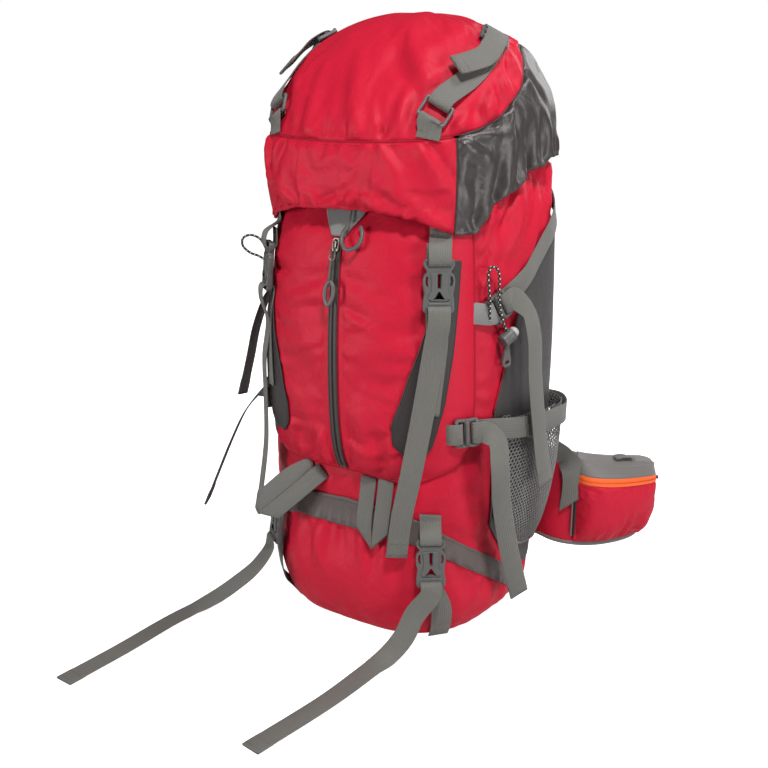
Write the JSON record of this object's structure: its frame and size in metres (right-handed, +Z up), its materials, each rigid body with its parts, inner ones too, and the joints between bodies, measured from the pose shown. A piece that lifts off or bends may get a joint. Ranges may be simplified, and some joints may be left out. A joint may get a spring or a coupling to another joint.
{
  "type": "camping backpack",
  "caption": "Top-loading camping backpack with a domed lid, zipped front pocket, net side pockets, compression straps, padded shoulder straps and a hip belt with pockets.",
  "frame": {"origin": "on the floor, in the middle of the flat base, under the middle of the bag", "axes": "+Z up; -Y out of the front of the bag; +Y out of its harness, towards the wearer; +X to the wearer's right"},
  "size_m": [0.5112, 0.7779, 0.7288],
  "materials": {
    "red_cloth": "woven polyester with a soft sheen",
    "grey_cloth": "woven polyester with a soft sheen",
    "webbing": "ribbed flat webbing",
    "net": "knitted net",
    "buckle_plastic": "satin moulded",
    "button_plastic": "satin moulded",
    "elastic_cord": "braided sleeve with pale flecks",
    "padding": "padded air mesh"
  },
  "bodies": {
    "pack": {"main_bag": "red_cloth", "bottom_band": "grey_cloth", "front_pocket": "red_cloth", "zip_tape": "grey_cloth", "back_panel": "padding", "lid_top": "red_cloth", "lid_front": "red_cloth", "lid_side_left": "grey_cloth", "lid_side_right": "grey_cloth", "side_panel_left": "grey_cloth", "side_panel_right": "grey_cloth", "mesh_pocket_left": "net", "mesh_pocket_right": "net", "pocket_gusset_left": "grey_cloth", "pocket_gusset_right": "grey_cloth", "lid_strap_anchor_left": "webbing", "lid_strap_anchor_right": "webbing", "lid_buckle_left": "buckle_plastic", "lid_buckle_right": "buckle_plastic", "lid_strap_left": "webbing", "lid_strap_right": "webbing", "bottom_strap_anchor_left": "webbing", "bottom_strap_anchor_right": "webbing", "bottom_buckle_left": "buckle_plastic", "bottom_buckle_right": "buckle_plastic", "bottom_strap_left": "webbing", "bottom_strap_right": "webbing", "upper_ladder_left": "buckle_plastic", "upper_ladder_right": "buckle_plastic", "upper_strap_left": "webbing", "upper_strap_right": "webbing", "bungee_cord_left": "elastic_cord", "bungee_cord_right": "elastic_cord", "cord_lock_left": "buckle_plastic", "cord_lock_right": "buckle_plastic", "lower_ladder_left": "buckle_plastic", "lower_ladder_right": "buckle_plastic", "lower_strap_left": "webbing", "lower_strap_right": "webbing", "tool_loop_left": "webbing", "tool_loop_right": "webbing", "lid_ring_left": "buckle_plastic", "lid_ring_right": "buckle_plastic", "lid_top_ladder_left": "buckle_plastic", "lid_top_ladder_right": "buckle_plastic", "lid_top_strap_left": "webbing", "lid_top_strap_right": "webbing", "shoulder_strap_left": "padding", "shoulder_strap_right": "padding", "belt_wing_left": "red_cloth", "belt_wing_right": "red_cloth", "belt_pocket_left": "red_cloth", "belt_pocket_right": "red_cloth", "belt_strap_left": "webbing", "belt_strap_right": "webbing", "belt_buckle": "buckle_plastic", "grab_handle": "webbing"},
    "button_left": {"cord_lock_button_left": "button_plastic"},
    "button_right": {"cord_lock_button_right": "button_plastic"}
  },
  "joints": [
    {"name": "press_left", "type": "slide", "parent": "pack", "child": "button_left", "axis": [0.3102, -0.8149, -0.4896], "range_m": [0, 0.004], "stiffness_N_per_m": 300},
    {"name": "press_right", "type": "slide", "parent": "pack", "child": "button_right", "axis": [-0.3102, -0.8149, -0.4896], "range_m": [0, 0.004], "stiffness_N_per_m": 300}
  ]
}
